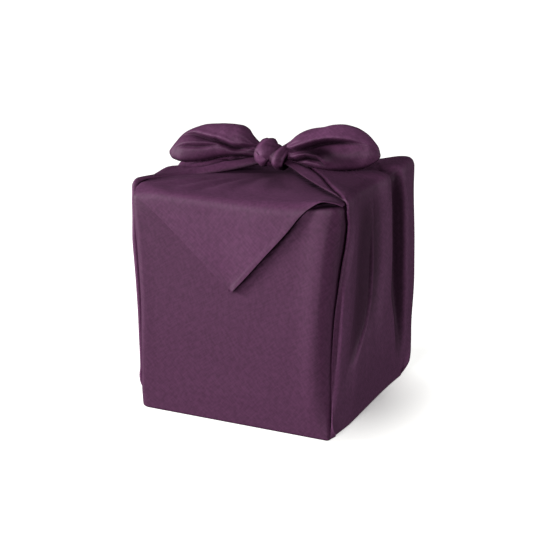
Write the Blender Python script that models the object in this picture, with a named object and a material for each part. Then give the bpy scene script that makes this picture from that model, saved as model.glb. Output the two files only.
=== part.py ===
"""A square cloth wrapped round a square box and tied on top by two of its corners.

The whole cloth is one thin sheet. Its walls rise from a flat base. At each upright edge the front or
back cloth is tucked under a side panel in a Z-fold that opens out towards the base. The front cloth
closes the top and tucks down behind the back. The back cloth lies over it and hangs in front as a
pointed flap. The pleated side panels close in as two ties, which meet in a knot with two ears.
Lengths are in millimetres until a mesh is placed. X runs along the front, Y to the back, Z up.
"""

import math

import bmesh
import bpy
import numpy as np
from mathutils import Matrix

MM = 0.001

# Driving dimensions.
CLOTH = 1.4                # thickness of the cloth
WIDTH = 210.0              # over the flat front and back, and over the tucked sides
FACE = (WIDTH - CLOTH) / 2  # middle of the cloth on the front and back
WALL_TOP = 219.0           # where the walls start to turn over the top edges
UNDER_TOP = 225.0          # middle of the under layer on top
OVER_TOP = 227.6           # middle of the over layer, which becomes the flap
BASE_ROUND = 3.0           # round of the bottom edge
TUCK_TURN = 1.1            # radius of the hidden turn of each Z-fold
TUCK_HEM = 9.0             # how far each tie's rolled edge is folded under
MARGIN = 15.0              # width of a tie's rolled edge

BELLY_DEPTH = 12.0         # how far round the corners the front's belly reaches
WELD = 0.001               # points closer than this are one

# Points on each stretch of the section, and the rows of the walls.
CORNER_STEPS = 4
TUCK_STEPS = 1
TURN_STEPS = 3
ROLL_STEPS = 4
FACE_STEPS = 6
FOLD_STEPS = 2
WALL_HEIGHTS = (15, 28, 42, 60, 100, 140, 170, 188, 204, WALL_TOP)
BASE_ANGLES = (0.0, 45.0, 90.0)
EDGE_ANGLES = (30.0, 60.0, 90.0)
BASE_INNER = 0.8           # the flat base's inner ring, as a share of its outline

COLOUR = (0.115, 0.04, 0.093, 1.0)
ROUGHNESS = 0.85


def rows(names, *lines):
    """A short table: a named column for each word, a row for each line."""
    return {name: np.array(column, float) for name, column in zip(names.split(), zip(*lines))}


# The Z-fold at each upright edge, by height: how far out the tucked layer lies, the round of the
# corner, where the folded edge comes to, how deep the fold is tucked, how far it is turned and the
# radius of its rolled edge.
FOLD_COLUMNS = "height side round edge tuck turn roll"
FRONT_RIGHT = rows(
    FOLD_COLUMNS,
    (0, 103.2, 9, 94, 3, 0, 1.6),
    (14, 103.2, 6, 97, 2, 30, 1.6),
    (30, 103.2, 4, 99, 1.5, 110, 1.6),
    (50, 103.2, 4, 103.5, 3, 180, 1.7),
    (80, 103.2, 6, 104, 7, 180, 2.0),
    (110, 103.0, 10, 103.5, 11, 180, 2.3),
    (140, 102.8, 14, 102, 16, 180, 2.6),
    (168, 102.6, 17, 97.5, 20, 180, 2.8),
    (185, 102.8, 15, 92, 24, 180, 2.9),
    (202, 103.0, 11, 87, 27, 180, 2.9),
    (219, 103.0, 7.6, 89, 32, 180, 2.9),
)
FRONT_LEFT = rows(
    FOLD_COLUMNS,
    (0, 102.8, 9, 92, 3, 0, 1.6),
    (14, 102.8, 7, 94, 2, 30, 1.6),
    (32, 102.6, 5, 95, 1.5, 110, 1.6),
    (54, 102.4, 5, 97, 4, 180, 1.7),
    (110, 102.4, 9, 97, 12, 180, 2.0),
    (168, 102.6, 11, 96, 22, 180, 2.3),
    (202, 102.8, 9, 92, 28, 180, 2.5),
    (219, 102.8, 7.6, 91, 32, 180, 2.6),
)
BACK_RIGHT = rows(
    FOLD_COLUMNS,
    (0, 101.8, 15, 88, 3, 0, 1.5),
    (14, 102.0, 12, 91, 2, 30, 1.5),
    (34, 102.4, 9, 94, 1.5, 110, 1.5),
    (56, 102.8, 8, 100, 3, 180, 1.5),
    (114, 103.0, 9, 102, 9, 180, 1.6),
    (168, 102.6, 10, 102, 15, 180, 1.6),
    (202, 102.4, 10.5, 101, 19, 180, 1.6),
    (219, 102.8, 10.6, 100, 21, 180, 1.7),
)
BACK_LEFT = rows(
    FOLD_COLUMNS,
    (0, 101.8, 13, 90, 3, 0, 1.5),
    (14, 102.0, 10, 93, 2, 30, 1.5),
    (34, 102.4, 8, 96, 1.5, 110, 1.5),
    (56, 102.6, 8, 100, 3, 180, 1.6),
    (114, 102.8, 9, 101, 10, 180, 1.8),
    (168, 102.6, 10, 100, 17, 180, 2.0),
    (202, 102.6, 10.5, 98, 22, 180, 2.1),
    (219, 102.8, 10.6, 98, 24, 180, 2.1),
)

# The side panels' pleats, front to back. For each line of a pleat, by height: its place along the
# side and how far it stands from the panel.
PLEAT_COLUMNS = "height place stand"
RIGHT_PLEATS = (
    rows(
        PLEAT_COLUMNS,
        (0, -76, 0), (60, -74, -0.2), (110, -70, -0.4), (168, -66, -0.4), (219, -66, -0.6),
    ),
    rows(
        PLEAT_COLUMNS,
        (0, -58, 0), (40, -60, 0), (69, -58, 1.0), (105, -32, 2.6), (140, -22, 3.4), (219, -28, 3.2),
    ),
    rows(
        PLEAT_COLUMNS,
        (0, -34, 0), (70, -34, 0), (105, -14, 0.3), (150, -5, 0), (183, -5, -0.6), (219, -13, -1.0),
    ),
    rows(
        PLEAT_COLUMNS,
        (0, -4, 0), (70, -6, 0.4), (114, -1, 1.6), (150, 14, 3.0), (177, 17, 3.6), (219, 1, 3.4),
    ),
    rows(PLEAT_COLUMNS, (0, 26, 0), (70, 20, 0.2), (129, 29, 0.6), (177, 33, 0.2), (219, 17, -1.0)),
    rows(
        PLEAT_COLUMNS,
        (0, 48, 0), (26, 50, 0.6), (54, 48, 2.4), (129, 48, 3.4), (181, 46, 3.6), (219, 31, 3.0),
    ),
    rows(
        PLEAT_COLUMNS,
        (0, 58, 0), (26, 63, -0.6), (60, 66, -3.0), (129, 66, -4.2), (181, 61, -4.2), (219, 42, -3.0),
    ),
    rows(
        PLEAT_COLUMNS,
        (0, 65, 0), (14, 69, 0.4), (32, 77, 1.2), (64, 84, 2.6), (120, 86, 3.2), (165, 83, 4.0), (219, 57, 4.6),
    ),
    rows(
        PLEAT_COLUMNS,
        (0, 71, 0), (14, 75, 0.3), (32, 83, 0.4), (60, 90, 0.8), (165, 92, 1.4), (219, 78, 0.6),
    ),
)
LEFT_PLEATS = (
    rows(
        PLEAT_COLUMNS,
        (0, -76, 0), (60, -76, -0.2), (110, -72, -0.4), (168, -68, -0.4), (219, -66, -0.6),
    ),
    rows(
        PLEAT_COLUMNS,
        (0, -56, 0), (60, -56, 0.4), (110, -40, 2.0), (160, -32, 3.2), (219, -34, 3.2),
    ),
    rows(PLEAT_COLUMNS, (0, -34, 0), (110, -20, 0.2), (160, -14, -0.6), (219, -18, -1.6)),
    rows(PLEAT_COLUMNS, (0, -6, 0), (60, -6, 0.6), (120, 0, 2.4), (180, 6, 4.0), (219, -2, 4.0)),
    rows(
        PLEAT_COLUMNS,
        (0, 22, 0), (80, 20, -0.4), (140, 24, -2.4), (190, 22, -3.0), (219, 15, -2.4),
    ),
    rows(PLEAT_COLUMNS, (0, 50, 0), (50, 44, 1.2), (120, 42, 3.0), (180, 38, 3.8), (219, 32, 3.6)),
    rows(
        PLEAT_COLUMNS,
        (0, 58, 0), (60, 60, -0.6), (120, 58, -1.6), (180, 54, -2.2), (219, 48, -1.6),
    ),
    rows(PLEAT_COLUMNS, (0, 66, 0), (60, 74, 0.8), (120, 73, 2.4), (180, 70, 3.2), (219, 62, 3.2)),
    rows(
        PLEAT_COLUMNS,
        (0, 72, 0), (14, 76, 0), (32, 84, 0.2), (60, 87, 0.2), (165, 87, 0.6), (219, 79, 0.4),
    ),
)
# How far out the panels lie between their pleats, by height.
PANEL = rows("height out", (0, 103.6), (14, 104.6), (34, 106.6), (60, 107.8), (219, 107.8))

# How far the front bellies out from flat, by place across it and by height.
BELLY_ACROSS = rows("across out", (-110, 1.8), (-90, 1.6), (-60, 0.6), (0, 0.2), (70, 0.5), (110, 0))
BELLY_UP = rows("height share", (0, 0), (40, 0.5), (120, 1), (200, 0.9), (219, 0.6))

# Soft pushes that make the bundle as uneven as it is: the middle of each, how far it reaches and how
# far it moves the cloth there.
PUSHES = rows(
    "x y z reach_x reach_y reach_z push_x push_y push_z",
    (-112, -112, 222, 90, 110, 130, -5.0, 0, 0),
    (112, 100, 90, 80, 110, 150, 3.4, 0, 0),
    (112, 104, 14, 60, 60, 50, 2.0, 0, 0),
    (104, 112, 240, 70, 60, 60, 0, 0, 5.0),
    (-108, -108, 6, 50, 50, 40, -1.6, 0, 0),
)

# The ties on top, from the wall to the knot: how far out, how high, and the shares left of the
# panel's width, of the rolled edge's own width and of the pleats' height.
TIE_COLUMNS = "out height gather margin fold"
RIGHT_TIE = rows(
    TIE_COLUMNS,
    (107.8, 219, 1, 1, 1),
    (107.7, 224, 1, 1, 1),
    (106.2, 228.8, 0.995, 1, 1),
    (102.4, 231.8, 0.98, 1, 1),
    (95, 232.8, 0.945, 0.98, 1),
    (78, 233.2, 0.84, 0.95, 1),
    (60, 233.8, 0.66, 0.86, 0.9),
    (42, 235.2, 0.47, 0.76, 0.8),
    (28, 238.0, 0.32, 0.62, 0.7),
    (16, 241.6, 0.21, 0.48, 0.55),
    (6, 244.0, 0.16, 0.38, 0.45),
)
LEFT_TIE = rows(
    TIE_COLUMNS,
    (107.8, 219, 1, 1, 1),
    (107.7, 224, 1, 1, 1),
    (106.2, 228.8, 0.995, 1, 1),
    (102.4, 232.0, 0.98, 1, 1),
    (95, 233.2, 0.94, 0.98, 1),
    (78, 234.4, 0.81, 0.95, 1),
    (62, 235.6, 0.64, 0.86, 0.9),
    (48, 236.8, 0.48, 0.76, 0.8),
    (34, 239.0, 0.35, 0.62, 0.7),
    (22, 242.0, 0.24, 0.48, 0.55),
    (13, 244.0, 0.17, 0.38, 0.45),
)

# The under layer past the tucked sides: along the top, then down inside the back as a point.
UNDER = rows(
    "deep height left right",
    (-20, 225.0, -97.5, 97.5),
    (30, 225.0, -97, 97),
    (70, 225.0, -91, 91),
    (92, 225.0, -86, 86),
    (96, 223.6, -85, 85),
    (98, 219.5, -82, 82),
    (98, 180, -47, 47),
    (98, 132, -3, 3),
)

# The over layer past the tucked sides: along the top, over the front edge and down as the flap.
# The lift raises the right hem where it arches from the front edge to the right tie.
OVER = rows(
    "deep height left right lift",
    (30, 227.6, -99.5, 99.5, 0),
    (-10, 227.6, -100.5, 100.5, 0),
    (-50, 227.6, -101, 101, 0),
    (-80, 227.6, -101.5, 102.5, 0),
    (-97, 227.6, -100.5, 102.5, 0.6),
    (-102.6, 226.4, -98, 99, 2.4),
    (-105.8, 223.2, -95, 88, 1.6),
    (-107.0, 217.6, -89.5, 74.6, 0),
    (-107.2, 199.6, -71.3, 59.8, 0),
    (-107.2, 176.0, -46, 39.2, 0),
    (-107.2, 153.0, -21, 19.2, 0),
    (-107.4, 134.6, -0.8, 3.4, 0),
)
LIFT_CENTRE = 95.0
LIFT_REACH = 11.0
LIFT_FORWARD = 0.6         # how far forward the hem lifts for each part that it rises
SIDE_TURN = 97.6           # where the top layers start to round down over the sides
SIDE_ROUND = 8.6

# The ears, from the knot to the tip: the lower and upper edge and how far they are puffed out.
EAR_COLUMNS = "low_x low_y low_z high_x high_y high_z puff"
LEFT_EAR = rows(
    EAR_COLUMNS,
    (-13, -3, 243.5, -13, 4, 256, 5),
    (-25, -6, 242, -25, 4, 260, 8),
    (-38, -8, 242.5, -38, 5, 269, 11),
    (-57, -10, 242.4, -57, 6, 273.5, 13),
    (-77, -15, 240.4, -77, 4, 271, 12),
    (-94, -20, 239.4, -94, -1, 264, 9.5),
    (-105, -21, 239, -107.5, -8, 254, 6),
    (-114, -15, 240.5, -115.5, -12, 246, 1.7),
)
RIGHT_EAR = rows(
    EAR_COLUMNS,
    (5, -4, 243, 5, 4, 256, 5),
    (17, -6, 244, 16, 5, 263, 8),
    (30, -8, 241.5, 28, 6, 271, 11),
    (50, -10, 238.6, 47, 7, 277, 13),
    (72, -10, 238.8, 68, 7, 280.6, 13),
    (90, -9, 242.4, 87, 4, 276, 11.5),
    (101, -9, 248, 101, -1, 267, 8.5),
    (107, -8, 253, 107, -5, 260, 5),
)
# An ear's section: up from its lower edge, and out towards the front, in shares of height and puff.
EAR_FOLD = rows(
    "up out",
    (0.42, -0.5),
    (0.8, -0.58),
    (1.0, -0.05),
    (0.94, 0.5),
    (0.78, 0.92),
    (0.62, 0.9),
    (0.52, 0.62),
    (0.42, 0.88),
    (0.32, 0.88),
    (0.24, 0.64),
    (0.12, 0.8),
    (0.01, 0.4),
    (0.06, -0.3),
    (0.24, -0.46),
)

# The knot: a packed core and two bands round it, each leaning like the crease between them.
KNOT_CORE = {"centre": (-6.0, 0.0, 246.4), "radii": (19.0, 14.6, 12.0)}
KNOT_BANDS = {
    "knot_band_left": {"centre": (-11.5, -0.5, 247.2), "loop": (12.5, 9.6), "band": (10.0, 4.6), "lean": 24.0},
    "knot_band_right": {"centre": (4.0, -0.5, 244.8), "loop": (11.5, 7.4), "band": (8.4, 4.4), "lean": 24.0},
}
BAND_SIDES = 8
BAND_STEPS = 16


def smooth(knots, values, at):
    """Read values at places between their knots, on a smooth curve that never overshoots them."""
    widths = np.diff(knots)
    slopes = np.diff(values) / widths
    before, after = slopes[:-1], slopes[1:]
    level = before * after <= 0
    mean = 2 * before * after / np.where(level, 1, before + after)
    tangents = np.concatenate(([slopes[0]], np.where(level, 0, mean), [slopes[-1]]))
    at = np.clip(at, knots[0], knots[-1])
    i = np.clip(np.searchsorted(knots, at) - 1, 0, len(widths) - 1)
    t = (at - knots[i]) / widths[i]
    rise = t * t * (3 - 2 * t)
    ends = values[i] * (1 - rise) + values[i + 1] * rise
    return ends + widths[i] * t * (1 - t) * ((1 - t) * tangents[i] - t * tangents[i + 1])


def read(table, column, at):
    """A named column of a table, read at a place on its first column."""
    first = next(iter(table))
    return smooth(table[first], table[column], at)


def walk(x, y, heading, legs):
    """The points on a path of legs, each a length, a turn in degrees and a number of steps."""
    points = [(x, y)]
    for length, turn, steps in legs:
        half = math.radians(turn) / steps / 2
        chord = length / steps * (math.sin(half) / half if half else 1)
        for _ in range(steps):
            heading += half
            x += chord * math.sin(heading)
            y -= chord * math.cos(heading)
            heading += half
            points.append((x, y))
    return np.array(points)


def fold_path(fold, height):
    """The cloth round one upright edge, from the face to the side panel, as out-and-forward pairs."""
    side, curve, edge, tuck, turn, roll = (
        float(read(fold, name, height)) for name in ("side", "round", "edge", "tuck", "turn", "roll")
    )
    angle = math.radians(turn)
    lean = math.sin(angle)
    start = edge + TUCK_TURN * lean + tuck * math.cos(angle) - roll * (1 - lean)
    flat = max(FACE - curve - start, 0.8)
    hem = min(TUCK_HEM, tuck / 2)
    legs = (
        (curve * math.pi / 2, -90, CORNER_STEPS),
        (flat, 0, TUCK_STEPS),
        (TUCK_TURN * math.pi, turn, TURN_STEPS),
        (tuck - hem, 0, 1),
        (hem, 0, 1),
        (roll * math.pi, -turn, ROLL_STEPS),
    )
    return walk(side - curve, FACE, math.pi / 2, legs)


def panel_path(pleats, height, front, back):
    """A side panel from its front fold to its back fold, as out-and-back pairs."""
    level = float(read(PANEL, "out", height))
    place = [front[1]] + [float(read(line, "place", height)) for line in pleats] + [back[1]]
    out = [front[0]] + [level + float(read(line, "stand", height)) for line in pleats] + [back[0]]
    steps = np.arange(0, (len(place) - 1) * FOLD_STEPS + 1) / FOLD_STEPS
    lines = np.arange(len(place), dtype=float)
    y = smooth(lines, np.array(place), steps)
    return np.column_stack((smooth(np.array(place), np.array(out), y), y))


def section(height):
    """The cloth at a height, anticlockwise from above: front, right side, back and left side."""
    flip_x = np.array((-1, 1))
    flip_y = np.array((1, -1))
    front_left = fold_path(FRONT_LEFT, height)[::-1] * flip_x * flip_y
    front_right = fold_path(FRONT_RIGHT, height) * flip_y
    back_right = fold_path(BACK_RIGHT, height)[::-1]
    back_left = fold_path(BACK_LEFT, height) * flip_x
    right = panel_path(RIGHT_PLEATS, height, front_right[-1], back_right[0])
    left = panel_path(LEFT_PLEATS, height, front_left[0] * flip_x, back_left[-1] * flip_x)
    share = np.linspace(0, 1, FACE_STEPS + 1)[:, None]
    front = front_left[-1] * (1 - share) + front_right[0] * share
    back = back_right[-1] * (1 - share) + back_left[0] * share
    parts = (front, front_right, right, back_right, back, back_left, left[::-1] * flip_x, front_left)
    ring = np.vstack([part[:-1] for part in parts] + [front[:1]])
    belly = read(BELLY_ACROSS, "out", ring[:, 0]) * read(BELLY_UP, "share", height)
    ring[:, 1] -= belly * np.clip((-ring[:, 1] - FACE) / BELLY_DEPTH + 1, 0, 1)
    return ring


def wall_rows():
    """The walls, from the flat base to the height where they turn over the top edges."""
    grid = []
    for angle in BASE_ANGLES:
        rise = BASE_ROUND * (1 - math.cos(math.radians(angle)))
        inset = BASE_ROUND * (1 - math.sin(math.radians(angle)))
        grid.append(level(section(CLOTH / 2 + rise) * (1 - inset / FACE), CLOTH / 2 + rise))
    grid.insert(0, grid[0] * (BASE_INNER, BASE_INNER, 1))
    return np.array(grid + [level(section(height), height) for height in WALL_HEIGHTS])


def level(points, height):
    """Section points with one height added."""
    return np.column_stack((points, np.full(len(points), float(height))))


def rim_rows(top, first, turn_radius):
    """The front or back wall and its tucked sides, turned over the top edge in a few rows."""
    side_steps = CORNER_STEPS + TUCK_STEPS
    picked = np.arange(first - side_steps, first + FACE_STEPS + side_steps + 1) % (len(top) - 1)
    rim = top[picked]
    corner = np.clip(np.arange(side_steps + 1), 0, CORNER_STEPS) * 90 / CORNER_STEPS
    angles = np.radians(np.concatenate((-corner[::-1], np.zeros(FACE_STEPS - 1), corner)))
    towards = -1 if first == 0 else 1
    outward = np.column_stack((-towards * np.sin(angles), towards * np.cos(angles)))
    grid = [level(rim, WALL_TOP)]
    for turn in np.radians(EDGE_ANGLES):
        inset = rim - outward * turn_radius * (1 - math.cos(turn))
        grid.append(level(inset, WALL_TOP + turn_radius * math.sin(turn)))
    return np.array(grid)


def top_rows(rim):
    """The flat top inside a turned rim, back to the end of its tucked sides, and its columns' shares."""
    corner = TUCK_STEPS + CORNER_STEPS // 2
    edge = rim[corner:len(rim) - corner]
    one_side = rim[corner::-1]
    other_side = rim[len(rim) - corner - 1:]
    across = (edge[:, 0] - edge[0, 0]) / (edge[-1, 0] - edge[0, 0])
    far = one_side[-1] + (other_side[-1] - one_side[-1]) * across[:, None]
    grid = []
    for step in range(corner + 1):
        down = step / corner
        left, right = one_side[step], other_side[step]
        line = edge * (1 - down) + far * down
        line += (left - line[0]) * (1 - across[:, None]) + (right - line[-1]) * across[:, None]
        grid.append(line)
    return grid, across


def under_layer(top):
    """The front cloth over the top edge, along the top and down inside the back."""
    rim = rim_rows(top, 0, UNDER_TOP - WALL_TOP)
    grid, across = top_rows(rim[-1])
    for deep, height, left, right in zip(*UNDER.values()):
        line = level(np.column_stack((left + (right - left) * across, np.full(len(across), deep))), height)
        grid.append(line)
    return rim, np.array(grid)


def over_layer(top):
    """The back cloth over the top edge, along the top, over the front edge and down as the flap."""
    rim = rim_rows(top, back_start(), OVER_TOP - WALL_TOP)
    grid, across = top_rows(rim[-1])
    for deep, height, left, right, lift in zip(*OVER.values()):
        x = right + (left - right) * across
        past = np.clip(np.abs(x) - SIDE_TURN, 0, SIDE_ROUND)
        raised = lift * np.exp(-(((x - LIFT_CENTRE) / LIFT_REACH) ** 2))
        z = height - SIDE_ROUND + np.sqrt(SIDE_ROUND**2 - past**2) + raised
        grid.append(np.column_stack((x, deep - raised * LIFT_FORWARD, z)))
    return rim, np.array(grid)


def gathered(y, gather, margin):
    """Places along the wall's top, drawn together while the rolled edges keep more of their width."""
    first, last = y.min(), y.max()
    inner = (last - first) * gather - 2 * MARGIN * margin
    old = (first, first + MARGIN, last - MARGIN, last)
    start = first * gather
    new = (start, start + MARGIN * margin, start + MARGIN * margin + inner, start + (last - first) * gather)
    return np.interp(y, old, new)


def tie_rows(top, first, last, table):
    """A side panel turned over the top edge and drawn in to the knot."""
    edge = top[np.arange(first, last + 1)]
    side = np.sign(edge[0, 0])
    stand = np.abs(edge[:, 0]) - table["out"][0]
    run_out = np.gradient(table["out"])
    run_up = np.gradient(table["height"])
    run_out[0] = 0
    grid = []
    for out, height, gather, margin, fold, ahead, up in zip(*table.values(), run_out, run_up):
        proud = stand * fold / math.hypot(ahead, up)
        y = gathered(edge[:, 1], gather, margin)
        grid.append(np.column_stack((side * (out + proud * up), y, height - proud * ahead)))
    return np.array(grid)


def fold_steps():
    """The number of steps in the section of one upright edge."""
    return CORNER_STEPS + TUCK_STEPS + TURN_STEPS + 2 + ROLL_STEPS


def back_start():
    """The section's column where the back begins."""
    return FACE_STEPS + 2 * fold_steps() + (len(RIGHT_PLEATS) + 1) * FOLD_STEPS


def ear_rows(ear):
    """An ear: its folded section, carried from the knot to the tip."""
    grid = []
    for low_x, low_y, low_z, high_x, high_y, high_z, puff in zip(*ear.values()):
        low = np.array((low_x, low_y, low_z))
        rise = np.array((high_x, high_y, high_z)) - low
        out = np.cross(rise, (1, 0, 0))
        out *= -math.copysign(puff, out[1]) / np.linalg.norm(out)
        grid.append(low + EAR_FOLD["up"][:, None] * rise + EAR_FOLD["out"][:, None] * out)
    return np.array(grid)


def pushed(grid):
    """Points moved by the soft pushes that reach them."""
    moved = grid.copy()
    for line in zip(*PUSHES.values()):
        centre, reach, push = np.reshape(line, (3, 3))
        far = (((grid - centre) / reach) ** 2).sum(axis=-1, keepdims=True)
        moved += np.clip(1 - far, 0, 1) ** 2 * push
    return moved


def add_sheet(mesh, grid):
    """Lay a flat grid into a mesh and carry its points to their places, given row by row."""
    last_row, last_column = grid.shape[0] - 1, grid.shape[1] - 1
    flat = bmesh.ops.create_grid(mesh, x_segments=last_column, y_segments=last_row, size=0.5)
    for vert in flat["verts"]:
        column = round((vert.co.x + 0.5) * last_column)
        row = round((vert.co.y + 0.5) * last_row)
        vert.co = grid[row, column] * MM


def finish_mesh(name, mesh):
    """Make a bmesh an object of the scene, shaded smooth."""
    data = bpy.data.meshes.new(name)
    mesh.to_mesh(data)
    mesh.free()
    data.shade_smooth()
    piece = bpy.data.objects.new(name, data)
    bpy.context.collection.objects.link(piece)
    return piece


def thicken(piece):
    """Give a sheet the cloth's thickness, half to each side."""
    wall = piece.modifiers.new("cloth", "SOLIDIFY")
    wall.thickness = CLOTH * MM
    wall.offset = 0
    wall.use_even_offset = False
    return wall


def make_wrap():
    """The wrapped cloth without its knot: base, walls, both top layers and the two ties."""
    mesh = bmesh.new()
    walls = wall_rows()
    top = walls[-1][:, :2]
    add_sheet(mesh, pushed(walls))
    for rim, layer in (under_layer(top), over_layer(top)):
        add_sheet(mesh, pushed(rim))
        add_sheet(mesh, pushed(layer))
    hem = fold_steps() - ROLL_STEPS - 1
    back = back_start()
    add_sheet(mesh, pushed(tie_rows(top, FACE_STEPS + hem, back - hem, RIGHT_TIE)))
    add_sheet(mesh, pushed(tie_rows(top, back + FACE_STEPS + hem, len(top) - 1 - hem, LEFT_TIE)))
    bmesh.ops.remove_doubles(mesh, verts=mesh.verts, dist=WELD * MM)
    low = CLOTH * MM
    rim = [edge for edge in mesh.edges if edge.is_boundary and edge.verts[0].co.z + edge.verts[1].co.z < low * 2]
    floor = bmesh.ops.edgeloop_fill(mesh, edges=rim)["faces"]
    bmesh.ops.reverse_faces(mesh, faces=[face for face in floor if face.normal.z > 0])
    return finish_mesh("wrapping_cloth", mesh)


def make_ear(name, ear):
    """One ear of the knot, as a thick sheet."""
    mesh = bmesh.new()
    add_sheet(mesh, ear_rows(ear))
    piece = finish_mesh(name, mesh)
    thicken(piece)
    return piece


def make_core():
    """The packed middle of the knot."""
    mesh = bmesh.new()
    bmesh.ops.create_uvsphere(mesh, u_segments=12, v_segments=8, radius=1)
    bmesh.ops.scale(mesh, verts=mesh.verts, vec=[radius * MM for radius in KNOT_CORE["radii"]])
    bmesh.ops.translate(mesh, verts=mesh.verts, vec=[place * MM for place in KNOT_CORE["centre"]])
    return finish_mesh("knot_core", mesh)


def make_band(name, band):
    """A flat band looped round the knot's core."""
    wide, thick = (size * MM for size in band["band"])
    deep, tall = (size * MM for size in band["loop"])
    mesh = bmesh.new()
    loop = bmesh.ops.create_circle(mesh, segments=BAND_SIDES, radius=1)["verts"]
    bmesh.ops.scale(mesh, verts=loop, vec=(wide, thick, 1))
    bmesh.ops.translate(mesh, verts=loop, vec=(0, deep, 0))
    geometry = mesh.verts[:] + mesh.edges[:]
    bmesh.ops.spin(
        mesh, geom=geometry, cent=(0, 0, 0), axis=(1, 0, 0), angle=math.tau, steps=BAND_STEPS, use_merge=True
    )
    bmesh.ops.remove_doubles(mesh, verts=mesh.verts, dist=WELD * MM)
    bmesh.ops.scale(mesh, verts=mesh.verts, vec=(1, 1, (tall + thick) / (deep + thick)))
    bmesh.ops.rotate(
        mesh, verts=mesh.verts, cent=(0, 0, 0), matrix=Matrix.Rotation(math.radians(band["lean"]), 3, "Y")
    )
    bmesh.ops.translate(mesh, verts=mesh.verts, vec=[place * MM for place in band["centre"]])
    bmesh.ops.recalc_face_normals(mesh, faces=mesh.faces)
    return finish_mesh(name, mesh)


def join_to(piece, others, solver):
    """Union pieces of the knot into the cloth and hide them as guides."""
    for other in others:
        other.display_type = "WIRE"
        other.hide_render = True
        union = piece.modifiers.new(other.name, "BOOLEAN")
        union.operation = "UNION"
        union.solver = solver
        union.object = other


def add_cloth_material(piece):
    """Plum plain-woven cloth."""
    material = bpy.data.materials.new("plum cloth")
    material.use_nodes = True
    shader = material.node_tree.nodes["Principled BSDF"]
    shader.inputs["Base Color"].default_value = COLOUR
    shader.inputs["Roughness"].default_value = ROUGHNESS
    shader.inputs["Metallic"].default_value = 0.0
    piece.data.materials.append(material)


def main():
    for old in list(bpy.data.objects):
        bpy.data.objects.remove(old, do_unlink=True)
    wrap = make_wrap()
    thicken(wrap)
    knot = [make_core()] + [make_band(name, band) for name, band in KNOT_BANDS.items()]
    ears = [make_ear("ear_left", LEFT_EAR), make_ear("ear_right", RIGHT_EAR)]
    join_to(wrap, knot, "EXACT")
    join_to(wrap, ears, "MANIFOLD")
    add_cloth_material(wrap)


main()
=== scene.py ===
import math

import bmesh
import bpy
import numpy as np
from mathutils import Matrix, Vector


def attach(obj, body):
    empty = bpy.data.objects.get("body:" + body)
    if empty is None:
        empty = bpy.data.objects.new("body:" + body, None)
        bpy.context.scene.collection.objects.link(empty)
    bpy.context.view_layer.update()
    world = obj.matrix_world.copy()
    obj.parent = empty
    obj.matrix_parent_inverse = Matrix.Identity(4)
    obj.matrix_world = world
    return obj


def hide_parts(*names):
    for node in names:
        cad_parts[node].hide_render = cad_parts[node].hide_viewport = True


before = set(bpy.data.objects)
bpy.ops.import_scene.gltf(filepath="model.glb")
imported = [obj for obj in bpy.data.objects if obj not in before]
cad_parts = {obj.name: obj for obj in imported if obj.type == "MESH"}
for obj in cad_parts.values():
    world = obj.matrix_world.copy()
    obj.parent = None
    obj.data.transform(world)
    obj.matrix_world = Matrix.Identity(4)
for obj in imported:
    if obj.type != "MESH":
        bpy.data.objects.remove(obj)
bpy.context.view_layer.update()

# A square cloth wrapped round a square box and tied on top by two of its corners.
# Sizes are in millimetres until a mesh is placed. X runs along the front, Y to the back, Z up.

MM = 0.001

# ---- sizes

SHOWN_CLOTH = 0.8  # thickness of the cloth as it shows
SOLID_CLOTH = 1.4  # thickness of the cloth in the solid model
DEPTH = 210.0  # of the body, over the flat front and back
FACE = (DEPTH - SOLID_CLOTH) / 2  # middle of the cloth there
WALL_TOP = 219.0  # where the walls start to turn over the top edges
UNDER_TOP = 225.0  # middle of the under layer on top
OVER_TOP = 227.6  # middle of the over layer, which becomes the flap
BASE_ROUND = 2.4  # round of the bottom edge
SHORTEST = 0.8  # of the tucked side between the corner and its Z-fold
TUCK_TURN = 1.1  # radius of the hidden turn of each Z-fold
TUCK_HEM = 9.0  # the part of a Z-fold that the tie's rolled edge starts from
MARGIN = 15.0  # width of a tie's rolled edge
BELLY_DEPTH = 16.0  # how far round the corners the front's belly reaches
WELD = 0.001  # points closer than this are one
HOLLOW = (-5.5, -0.6)  # how proud a side's cloth is, from hollows with nothing behind them, which get painted shade, to folds
EAR_BACKED = 0.15  # share of cloth behind the ears, which paints them a little lighter
LAYER_BACKED = 0.34  # and behind the over layer where it leaves the back
HOLLOW_SHADE = 0.15  # painted shade in the side panels' hollows
CREASE_SHADE = 0.45  # and painted shade in a tie's creases, for each millimetre of their depth

# Steps on each stretch of the section, and from one line of a pleat to the next.
CORNER_STEPS, TUCK_STEPS, TURN_STEPS, HEM_STEPS, ROLL_STEPS, FACE_STEPS, FOLD_STEPS = 12, 2, 6, 2, 8, 44, 9
UPRIGHT_STEPS = CORNER_STEPS + TUCK_STEPS + TURN_STEPS + 2 * HEM_STEPS + ROLL_STEPS  # at each edge
WALL_ROW = 3.4  # between rows of points up the walls
BASE_ANGLES = np.linspace(0, 90, 6)  # of the rows round the bottom edge
EDGE_ANGLES = np.linspace(0, 90, 8)[1:]  # and over the top edges
BASE_INNER = 0.94  # the flat base's inner ring, as a share of its outline
BASE_FADE = (4, 30)  # heights between which the walls' creases come in
PLAIN_WALL = 14.0  # and how far they fade out below the top edges
FACE_ZONE = (92, 101)  # how far out the creases of the front and back come in
PANEL_ZONE = (105.6, 107.2)  # and those of the side panels
SHADE_ZONE = (92, 98)  # and the painted shadow under the flap's hem
FLAP_ZONE = (103, 106)  # how far forward the over layer becomes the flap
TOP_ZONE = (86, 100)  # how far back the top's creases fade out
TOP_FRONT = (88, 100)  # how far forward
ON_TOP = (222, 226)  # and the heights between which they come in
LAYER_ROWS, TIE_ROWS, EAR_ROWS = 7, 6, 8  # rows of points for each line of their tables


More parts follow.
